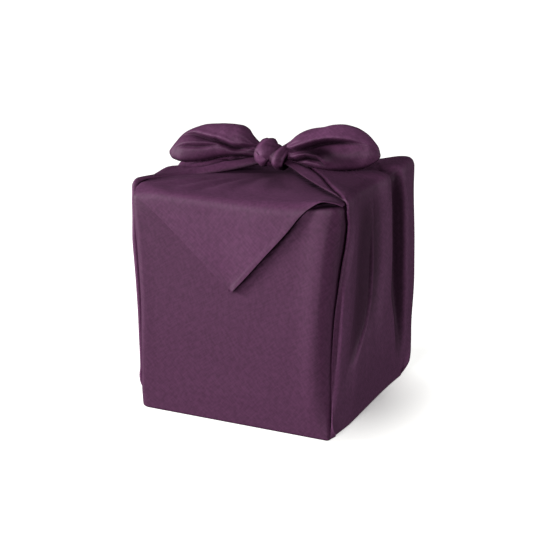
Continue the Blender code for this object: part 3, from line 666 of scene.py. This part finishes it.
def over_layer(top):
    """The back cloth over the top edge, along the top, over the front edge and down as the flap."""
    rim = rim_rows(top, BACK_START, OVER_TOP - WALL_TOP)
    grid, across = top_rows(rim[-1])
    shades = [np.full(len(across), LAYER_BACKED)] * len(grid)
    for deep, height, left, right, lift, stand, behind in zip(*finer(OVER, LAYER_ROWS).values()):
        x = right + (left - right) * across
        past = np.clip(np.abs(x) - SIDE_TURN, 0, SIDE_ROUND)
        raised = lift * bump(x, LIFT_CENTRE, LIFT_REACH)
        z = height - SIDE_ROUND + np.sqrt(SIDE_ROUND**2 - past**2) + raised
        reach = STAND_REACH * (right - left)
        off = stand * ease(reach - (right - x), 0, reach)
        from_hem = np.minimum(right - x, x - left) * math.sqrt(0.5)
        hem = HEM_PROUD * ease(HEM - from_hem, 0, HEM_STEP) * (height < HEM_SHOWS)
        y = deep - raised * LIFT_FORWARD - off - hem
        flap = ease(-deep, *FLAP_ZONE)
        y = y - flap * (creases(FLAP_CREASES, x, z) + 0.15 * ripple(x, z, 40, 13))
        grid.append(np.column_stack((x, y, z)))
        # Painted shade that deepens towards the flap's right.
        shades.append(behind - 0.3 * ease(x, 20, 90) * flap)
    grid = np.array(grid)
    x, y, z = np.moveaxis(grid, -1, 0)
    middle_x, middle_y, size, dark = KNOT_SHADE
    under_knot = dark * bump(np.hypot(x - middle_x, y - middle_y), 0, size)
    flat = (1 - ease(y, *TOP_ZONE)) * (1 - ease(-y, *TOP_FRONT)) * ease(z, *ON_TOP)
    grid[..., 2] += flat * (creases(TOP_CREASES, x, y) + 0.2 * ripple(x, y, 42, 17))
    # Painted shadows on the top: a dark spot below the knot and lines close under the ties' edges.
    shades = np.array(shades) - under_knot + flat * creases(TIE_SHADES, x, y)
    return rim, grid, shades


# ---- the ties

def gathered(y, gather, margin):
    """Places along the wall's top, drawn together while the rolled edges keep more of their width."""
    first, last = y.min(), y.max()
    inner = (last - first) * gather - 2 * MARGIN * margin
    old = (first, first + MARGIN, last - MARGIN, last)
    start = first * gather
    turn = start + MARGIN * margin
    return np.interp(y, old, (start, turn, turn + inner, start + (last - first) * gather))


def tie_rows(top, first, last, table):
    """A side panel turned over the top edge and drawn in to the knot."""
    edge = top[np.arange(first, last + 1)]
    side = np.sign(edge[0, 0])
    table = finer(table, TIE_ROWS)
    stand = np.abs(edge[:, 0]) - table["out"][0]
    run_out = np.gradient(table["out"])
    run_up = np.gradient(table["height"])
    run_out[0] = 0
    grid = []
    for line in zip(*table.values(), run_out, run_up):
        out, height, gather, margin, fold, arch, _, _, ahead, up = line
        proud = stand * fold / math.hypot(ahead, up)
        y = gathered(edge[:, 1], gather, margin)
        middle, half = (y.min() + y.max()) / 2, (y.max() - y.min()) / 2
        dome = arch * (1 - ((y - middle) / half) ** 2)
        grid.append(np.column_stack((side * (out + proud * up), y, height - proud * ahead + dome)))
    return np.array(grid)


# ---- the knot and its ears

def ear_crease(over, deep, wide, proud, lip, lip_wide):
    """How far a crease cuts into an ear at places over and under it, with the lip that stands out."""
    cut = bump(over, 0, np.where(over > 0, STEEP, wide))
    return deep * (cut - proud * bump(over, lip, lip_wide))


def ear_rows(ear, seed):
    """An ear: a closed leaf of folded cloth, with its creases and its painted light and shade, carried from
    the knot to the tip.
    """
    front = np.linspace(0, 1, EAR_FRONT)
    back = np.linspace(1, 0, EAR_BACK)[1:]
    share = np.concatenate((front, back))
    on_front = np.concatenate((np.ones(len(front)), np.zeros(len(back))))
    grid, fold = [], []
    for line in zip(*finer(ear, EAR_ROWS).values()):
        puff, main, main_deep, wide, under, under_deep, lit, shade, shade_at = line[6:]
        low = np.array(line[:3])
        rise = np.array(line[3:6]) - low
        out = np.cross(rise, (1, 0, 0))
        out *= -math.copysign(1, out[1]) / np.linalg.norm(out)
        crown = np.sin(np.pi * np.clip(share, 0, 1)) ** 0.6
        above, below = share - main, share - under
        cut = ear_crease(above, main_deep, wide, *LIP) + ear_crease(below, under_deep, SLIT_WIDE, *SLIT_LIP)
        shape = np.where(on_front > 0, puff * crown - cut, -FLATTER_BACK * puff * crown)
        grid.append(low + share[:, None] * rise + shape[:, None] * out)
        # Painted shade where little light gets in: the creases, along the lower edge and under the lobes.
        painted_shade = 0.13 * main_deep * bump(above, -0.01, 0.045) + 0.2 * under_deep * bump(below, 0, 0.03)
        painted_shade += 0.9 * bump(share, 0, 0.06)
        painted_shade += shade * bump(share, shade_at, 0.17) * ease(-above, -0.02, 0.02)
        # Painted light on the upper lobe.
        lobe = lit * ease(above, 0.02, 0.1)
        fold.append(EAR_BACKED + (lobe - np.minimum(painted_shade, 1.1)) * on_front)
    grid = np.array(grid)
    # Gathers spread from the knot, and the whole ear is a little uneven.
    length = np.linspace(0, 1, len(grid))[:, None]
    gathers = np.exp(-length / 0.22) * np.minimum(length / 0.05, 1)
    around = share[None, :] * np.where(on_front > 0, 1, -1)
    wave = 0.7 * gathers * np.sin(around * 34 + seed) + 0.3 * ripple(length * 95, around * 34, 13, seed)
    grid[..., 1] += wave * ease(length, 0, 0.06) * ease(1 - length, 0.01, 0.12)
    return grid, np.array(fold)


def band_rows(deep, tall, wide, thick, crown, foot, gathers, high, drift, behind):
    """A flat gathered band looped round the knot's core, with painted shade at its edges, in its gathers and
    where it goes under.
    """
    turn = np.linspace(0, math.tau, BAND_STEPS + 1)[:, None]
    around = np.linspace(0, math.tau, BAND_SIDES + 1)[None, :]
    top = (1 + np.sin(turn)) / 2
    spread = wide * (foot + (crown - foot) * top)
    across = np.sign(np.cos(around)) * np.abs(np.cos(around)) ** 0.8
    folds = high * np.cos(across * math.pi * gathers + drift * np.sin(turn))
    out = thick * np.sin(around) + np.where(np.sin(around) > 0, folds * np.abs(np.sin(around)), 0)
    out = out + 0.8 * ripple(turn * deep, spread * across, 10, int(wide * 10))
    y = -np.cos(turn) * (deep + out)
    z = np.sin(turn) * (tall + out)
    x = np.broadcast_to(spread * across, z.shape)
    # Painted shade at the band's edges, in its gathers and where it goes under.
    painted_shade = 1.4 * np.abs(across) ** 6 + 0.6 * np.clip(-folds / high, 0, 1) ** 2
    painted_shade = painted_shade + 0.9 * ease(-np.sin(turn), 0.2, 0.8)
    return np.stack((x, y, z), axis=-1), behind - np.minimum(painted_shade, 1.6)


# ---- meshes

def pushed(grid):
    """Points moved by the soft pushes that reach them."""
    moved = grid.copy()
    for line in zip(*PUSHES.values()):
        centre, reach, push = np.reshape(line, (3, 3))
        far = (((grid - centre) / reach) ** 2).sum(axis=-1, keepdims=True)
        moved += np.clip(1 - far, 0, 1) ** 2 * push
    return moved


def add_sheet(mesh, grid, fold):
    """Lay a flat grid into a mesh, carry its points to their places and lay the weave along it.

    Fold is the painted light and shade of each point: 0 for a single layer, up to 1 painted lighter for
    folds of cloth behind it and for painted light, and down to -1 for painted shade deep in a crease.
    """
    last_row, last_column = grid.shape[0] - 1, grid.shape[1] - 1
    middle = last_column // 2
    across = np.linalg.norm(np.diff(grid, axis=1), axis=-1).cumsum(axis=1)
    across = np.pad(across, ((0, 0), (1, 0)))
    across = across - across[:, middle:middle + 1]
    along = np.linalg.norm(np.diff(grid[:, middle], axis=0), axis=-1).cumsum()
    along = np.concatenate(([0], along))
    weave = mesh.loops.layers.uv.get("weave") or mesh.loops.layers.uv.new("weave")
    shade = mesh.verts.layers.float.get("fold") or mesh.verts.layers.float.new("fold")
    flat = bmesh.ops.create_grid(mesh, x_segments=last_column, y_segments=last_row, size=0.5)
    places = {}
    for vert in flat["verts"]:
        column = round((vert.co.x + 0.5) * last_column)
        row = round((vert.co.y + 0.5) * last_row)
        places[vert] = (row, column)
        vert.co = grid[row, column] * MM
        vert[shade] = fold[row, column]
    faces = {face for vert in flat["verts"] for face in vert.link_faces}
    for face in faces:
        for loop in face.loops:
            row, column = places[loop.vert]
            loop[weave].uv = (across[row, column] * MM, along[row] * MM)


def add_object(name, data):
    """Put a mesh, a light or a camera into the scene."""
    made = bpy.data.objects.new(name, data)
    bpy.context.scene.collection.objects.link(made)
    return made


def finish_mesh(name, mesh):
    """Make a bmesh an object of the scene, shaded smooth."""
    data = bpy.data.meshes.new(name)
    mesh.to_mesh(data)
    mesh.free()
    data.shade_smooth()
    return add_object(name, data)


def weld(mesh):
    """Join the points that lie together."""
    bmesh.ops.remove_doubles(mesh, verts=mesh.verts, dist=WELD * MM)


def thicken(piece):
    """Give a sheet the cloth's thickness, half to each side."""
    wall = piece.modifiers.new("cloth", "SOLIDIFY")
    wall.thickness = SHOWN_CLOTH * MM
    wall.offset = 0
    wall.use_even_offset = False


def backed_and_shaded_sides(walls, sides):
    """How light each point of the walls is painted: lighter on the gathered sides' folds for the cloth
    behind them, painted shade in their hollows.
    """
    backed_and_painted_light = np.zeros(walls.shape[:2])
    for first, last, _ in sides:
        panel = walls[:, first:last + 1]
        proud = np.abs(panel[..., 0]) - read(PANEL, "out", panel[..., 2])
        backed_and_painted_light[:, first:last + 1] = ease(proud, *HOLLOW) * (1 + HOLLOW_SHADE) - HOLLOW_SHADE
    return backed_and_painted_light


def creased_tie(top, backed_and_painted_light, first, last, table):
    """A tie with its creases, and its painted light and shade: lighter for what lies behind it, painted
    shade in its creases and along its rolled edges.
    """
    tie = tie_rows(top, first, last, table)
    steps = finer(table, TIE_ROWS)
    inward = np.linspace(0, 1, len(tie))[:, None] ** 0.5
    folds = creases(TIE_CREASES, tie[..., 0], tie[..., 1]) * ease(inward, 0, 0.5)
    tie[..., 2] += folds
    column = np.arange(tie.shape[1])
    # Painted shade along the rolled edges and in the creases.
    rim_painted_shade = ease(HEM_STEPS + ROLL_STEPS - np.minimum(column, column[::-1]), 0, 4) * steps["rim"][:, None]
    shades = backed_and_painted_light[-1, first:last + 1] * (1 - inward) + steps["behind"][:, None] * inward
    return tie, shades + np.clip(folds * CREASE_SHADE, -1, 0) - rim_painted_shade


def close_base(mesh):
    """Fill the open ring of the flat base, facing down."""
    low = SOLID_CLOTH * MM
    ring = [edge for edge in mesh.edges if edge.is_boundary and max(vert.co.z for vert in edge.verts) < low]
    base = bmesh.ops.edgeloop_fill(mesh, edges=ring)["faces"]
    bmesh.ops.reverse_faces(mesh, faces=[face for face in base if face.normal.z > 0])


def make_wrap():
    """The wrapped cloth without its knot: base, walls, both top layers and the two ties."""
    mesh = bmesh.new()
    walls = wall_rows()
    top = walls[-1][:, :2]
    hem = UPRIGHT_STEPS - ROLL_STEPS - HEM_STEPS
    sides = ((FACE_STEPS + hem, BACK_START - hem, RIGHT_TIE),
             (BACK_START + FACE_STEPS + hem, len(top) - 1 - hem, LEFT_TIE))
    backed_and_painted_light = backed_and_shaded_sides(walls, sides)
    # The layers and ties start on the plain wall, so its creases fade out below them.
    fade = ease(WALL_TOP - walls[..., 2:], 0, PLAIN_WALL)
    creased = walls + (wall_relief(walls) - walls) * fade
    add_sheet(mesh, pushed(creased), fold=backed_and_painted_light + hem_shade(walls))
    for rim, layer, shades in (under_layer(top), over_layer(top)):
        # The turned rims are painted from nought up to their layer's lightness, with the painted shadow
        # under the flap's hem.
        behind = np.linspace(0, shades[0].max(), len(rim))[:, None]
        add_sheet(mesh, pushed(rim), fold=behind + hem_shade(rim))
        add_sheet(mesh, pushed(layer), fold=shades)
    for side in sides:
        tie, shades = creased_tie(top, backed_and_painted_light, *side)
        add_sheet(mesh, pushed(tie), fold=shades)
    weld(mesh)
    close_base(mesh)
    piece = finish_mesh("wrapped_cloth", mesh)
    thicken(piece)
    return piece


def make_ear(name, ear, seed):
    """One ear of the knot."""
    mesh = bmesh.new()
    grid, fold = ear_rows(ear, seed)
    add_sheet(mesh, grid, fold=fold)
    weld(mesh)
    ends = [edge for edge in mesh.edges if edge.is_boundary]
    bmesh.ops.holes_fill(mesh, edges=ends)
    bmesh.ops.recalc_face_normals(mesh, faces=mesh.faces)
    return finish_mesh(name, mesh)


def make_knot():
    """The knot: its packed core and the two bands round it."""
    mesh = bmesh.new()
    for x, y, z, lean, *band in zip(*KNOT_BANDS.values()):
        before = set(mesh.verts)
        grid, fold = band_rows(*band)
        add_sheet(mesh, grid, fold=fold)
        made = [vert for vert in mesh.verts if vert not in before]
        turn = Matrix.Rotation(math.radians(lean), 3, "Y")
        bmesh.ops.rotate(mesh, verts=made, cent=(0, 0, 0), matrix=turn)
        bmesh.ops.translate(mesh, verts=made, vec=(x * MM, y * MM, z * MM))
    core = bmesh.ops.create_uvsphere(mesh, u_segments=32, v_segments=20, radius=1)["verts"]
    bmesh.ops.scale(mesh, verts=core, vec=Vector(CORE_RADII) * MM)
    bmesh.ops.translate(mesh, verts=core, vec=Vector(CORE_CENTRE) * MM)
    weld(mesh)
    bmesh.ops.recalc_face_normals(mesh, faces=mesh.faces)
    return finish_mesh("knot", mesh)


# ---- materials

def linear(hex_colour):
    """An sRGB hex colour as linear RGBA."""
    parts = [int(hex_colour[i:i + 2], 16) / 255 for i in (1, 3, 5)]
    return [part / 12.92 if part <= 0.04045 else ((part + 0.055) / 1.055) ** 2.4 for part in parts] + [1.0]


def add_node(tree, kind, **settings):
    """Add a node and return its outputs. Names in lower case are its own settings, and others its inputs.

    Inputs are linked or set by name, spaces written as underscores, or by number as _0, _1 and so on.
    """
    node = tree.nodes.new("ShaderNode" + kind)
    for name, value in settings.items():
        if name[0].islower():
            setattr(node, name, value)
            continue
        socket = node.inputs[int(name[1:])] if name[0] == "_" else node.inputs[name.replace("_", " ")]
        if isinstance(value, bpy.types.NodeSocket):
            tree.links.new(value, socket)
        else:
            socket.default_value = value
    return node.outputs


def new_material(name, settings):
    """A material, its node tree and its shader, with the settings that are the same all over."""
    material = bpy.data.materials.new(name)
    material.use_nodes = True
    shader = material.node_tree.nodes["Principled BSDF"]
    for socket, value in settings.items():
        shader.inputs[socket].default_value = value
    return material, material.node_tree, shader


THREAD = 1.1  # drawn pitch of the weave, about three times the real 0.35 mm so that it shows
SLUB = (2.0, 7.0)  # width and length of the thick and thin stretches, several threads wide
UNEVEN = 0.022  # broad unevenness of the dye, one wave in about 45 mm
RELIEF = 0.12  # height of the threads, in millimetres
CLOTH_BASE = "#482640"
CLOTH_LIGHT = "#552e4c"
BACKED_AND_LIT_TINT = (1.7, 1.86, 1.76)  # how much lighter the colour is painted at most: partly thin cloth with much cloth behind it losing less light, partly painted light
DEEPEST_SHADE = 0.1  # share of the colour left where the painted shade is deepest, deep in a crease
SHINE = 0.24  # reflection of the threads, less than smooth plastic's
SHEEN_TINT = "#c9a3c4"
PAINT = "#f4f4f2"
GLOW = (0.3, 0.85)  # of the studio's paint, in the painted soft shadow beside the bundle and clear of it
SHADOW = (0.1, (0.068, 0.118))  # how far right the painted shadow's middle lies and how far it reaches, in metres
SHADOW_CORE = 0.2  # share of that reach where it is deepest


def plain_weave():
    """Plum polyester in a plain weave: matt, with a soft bloom at grazing angles, faint slubs, and painted
    light and shade from the fold attribute.
    """
    material, tree, shader = new_material("plum plain-weave polyester", {
        "Roughness": 0.56, "IOR": 1.45, "Sheen Weight": 0.02, "Sheen Roughness": 0.45,
        "Sheen Tint": linear(SHEEN_TINT),
    })
    weave = add_node(tree, "UVMap", uv_map="weave")["UV"]
    # The threads run at 45 degrees to the box, along the flap's hems.
    turn, to_mm = (0, 0, math.pi / 4), (1 / MM, 1 / MM, 1)
    threads = add_node(tree, "Mapping", Vector=weave, Rotation=turn, Scale=to_mm)["Vector"]
    place = add_node(tree, "SeparateXYZ", Vector=threads)
    waves = []
    for axis in (0, 1):
        angle = add_node(tree, "Math", operation="MULTIPLY", _0=place[axis], _1=math.tau / THREAD)[0]
        waves.append(add_node(tree, "Math", operation="SINE", _0=angle)[0])
    crossing = add_node(tree, "Math", operation="MULTIPLY", _0=waves[0], _1=waves[1])[0]
    # Thick and thin stretches along the warp and the weft.
    slubs = []
    for stretch in ((1 / SLUB[0], 1 / SLUB[1], 1), (1 / SLUB[1], 1 / SLUB[0], 1)):
        along = add_node(tree, "Mapping", Vector=threads, Scale=stretch)["Vector"]
        slubs.append(add_node(tree, "TexNoise", Vector=along, Scale=1.0, Detail=1.0)[0])
    slub = add_node(tree, "Math", operation="ADD", _0=slubs[0], _1=slubs[1])[0]
    broad = add_node(tree, "TexNoise", Vector=threads, Scale=UNEVEN, Detail=2.0)[0]
    # Mostly even, and a little lighter where a thread is thick or lies over another.
    light = add_node(tree, "MapRange", Value=slub, From_Min=0.72, From_Max=1.28, To_Min=-0.2, To_Max=0.8)[0]
    light = add_node(tree, "Math", operation="MULTIPLY_ADD", _0=crossing, _1=0.14, _2=light)[0]
    light = add_node(tree, "Math", operation="MULTIPLY_ADD", use_clamp=True, _0=broad, _1=0.4, _2=light)[0]
    dark, pale = linear(CLOTH_BASE), linear(CLOTH_LIGHT)
    colour = add_node(tree, "Mix", data_type="RGBA", _0=light, _6=dark, _7=pale)[2]
    # Painted light and shade from the fold attribute: lighter where folds of cloth lie behind it and where
    # light is painted, and darker with painted shade deep in creases, in hollows and under edges. The
    # reflection is dimmed with the same painted shade.
    fold = add_node(tree, "Attribute", attribute_name="fold")["Fac"]
    lighter = add_node(tree, "VectorMath", operation="MULTIPLY", _0=colour, _1=BACKED_AND_LIT_TINT)[0]
    backed_and_painted_light = add_node(tree, "Mix", data_type="RGBA", _0=fold, _6=colour, _7=lighter)[2]
    lit = add_node(tree, "MapRange", Value=fold, From_Min=-1.0, From_Max=0.0, To_Min=DEEPEST_SHADE)[0]
    shown = add_node(tree, "VectorMath", operation="SCALE", _0=backed_and_painted_light, Scale=lit)[0]
    shine = add_node(tree, "Math", operation="MULTIPLY", _0=lit, _1=SHINE)[0]
    height = add_node(tree, "Math", operation="MULTIPLY_ADD", _0=slub, _1=0.5, _2=crossing)[0]
    relief = add_node(tree, "Bump", Height=height, Strength=0.35, Distance=RELIEF * MM)["Normal"]
    for socket, value in (("Base Color", shown), ("Specular IOR Level", shine), ("Normal", relief)):
        tree.links.new(value, shader.inputs[socket])
    return material


def studio_paint():
    """Matt white paint with a glow of its own, weaker close to the right of the bundle as a painted soft
    shadow.
    """
    material, tree, shader = new_material("matt white paint", {
        "Base Color": linear(PAINT), "Roughness": 0.9, "Emission Color": linear(PAINT),
    })
    place = add_node(tree, "TexCoord")["Object"]
    # The painted soft shadow is an oval on the floor, with its middle under the right face.
    middle, (reach_x, reach_y) = SHADOW
    shift, scale = (-middle / reach_x, 0, 0), (1 / reach_x, 1 / reach_y, 1)
    oval = add_node(tree, "Mapping", Vector=place, Location=shift, Scale=scale)["Vector"]
    away = add_node(tree, "VectorMath", operation="LENGTH", _0=oval)["Value"]
    glow = add_node(tree, "MapRange", Value=away, From_Min=SHADOW_CORE, To_Min=GLOW[0], To_Max=GLOW[1])[0]
    tree.links.new(glow, shader.inputs["Emission Strength"])
    return material


# ---- camera, floor and light

AZIMUTH, ELEVATION = 24.71, 16.67  # of the view, to the right of the front and above the floor
DISTANCE = 1.26  # from the bundle, in metres like all that follows
AIM_RIGHT, AIM_UP = -0.00333, 0.11775  # the camera's offset across its view
FOCAL_PIXELS, FRAME_PIXELS, SENSOR = 1203, 550, 36
SWEEP_SIZE, SWEEP_START, SWEEP_ROUND = 4.5, 1.8, 0.8  # where the floor starts to curve up, and its radius
# Soft square lights: name, place, the point that it shines at, size and watts.
LIGHTS = (
    ("key", (-2.12, -0.99, 0.68), (0, 0, 0.14), 0.8, 76),
    ("fill", (0.12, -2.34, 0.72), (0, 0, 0.14), 0.5, 32),
    ("side", (1.76, 0.82, 0.4), (0, 0, 0.1), 1.0, 8.5),
)
ROOM = 0.225  # even light from all round


def make_camera():
    """The photo's view: a little from the right and above."""
    turn, lift = math.radians(AZIMUTH), math.radians(ELEVATION)
    back = Vector((math.sin(turn) * math.cos(lift), -math.cos(turn) * math.cos(lift), math.sin(lift)))
    right = Vector((math.cos(turn), math.sin(turn), 0))
    up = back.cross(right)
    lens = bpy.data.cameras.new("camera")
    lens.sensor_width = SENSOR
    lens.lens = FOCAL_PIXELS / FRAME_PIXELS * SENSOR
    camera = add_object("camera", lens)
    place = back * DISTANCE + right * AIM_RIGHT + up * AIM_UP
    camera.matrix_world = Matrix.Translation(place) @ Matrix((right, up, back)).transposed().to_4x4()
    bpy.context.scene.camera = camera


def make_studio():
    """A pale sweep: a floor that curves up into a wall behind."""
    mesh = bmesh.new()
    bmesh.ops.create_grid(mesh, x_segments=1, y_segments=60, size=SWEEP_SIZE)
    for vert in mesh.verts:
        past = max(vert.co.y - SWEEP_START, 0)
        turn = min(past / SWEEP_ROUND, math.pi / 2)
        vert.co.y += SWEEP_ROUND * math.sin(turn) - past
        vert.co.z = SWEEP_ROUND * (1 - math.cos(turn)) + past - SWEEP_ROUND * turn
    floor = finish_mesh("floor", mesh)
    floor.data.materials.append(studio_paint())
    # The object is lit by the lamps and the room, not by the bright floor.
    floor.visible_diffuse = False
    floor.visible_glossy = False


def make_light():
    """The lamps, and even light from a white room that doesn't show in the cloth."""
    for name, place, aim, size, watts in LIGHTS:
        light = bpy.data.lights.new(name, "AREA")
        light.size = size
        light.energy = watts
        lamp = add_object(name, light)
        away = Vector(place) - Vector(aim)
        turn = away.to_track_quat("Z", "Y").to_matrix().to_4x4()
        lamp.matrix_world = Matrix.Translation(place) @ turn
    world = bpy.data.worlds.new("studio")
    world.use_nodes = True
    background = world.node_tree.nodes["Background"]
    background.inputs["Color"].default_value = (1, 1, 1, 1)
    background.inputs["Strength"].default_value = ROOM
    world.cycles_visibility.glossy = False
    bpy.context.scene.world = world
    bpy.context.scene.view_settings.view_transform = "Standard"


# ---- putting it together

def place_cloth():
    """The wrap, its knot and its ears, all of the one cloth, in place of the solid one."""
    cloth = plain_weave()
    wrap = make_wrap()
    knot = make_knot()
    ears = [make_ear("ear_left", LEFT_EAR, 1), make_ear("ear_right", RIGHT_EAR, 2)]
    for piece in (wrap, knot, *ears):
        piece.data.materials.append(cloth)
        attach(piece, "root")
        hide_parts("wrapping_cloth")


make_camera()
place_cloth()
make_studio()
make_light()
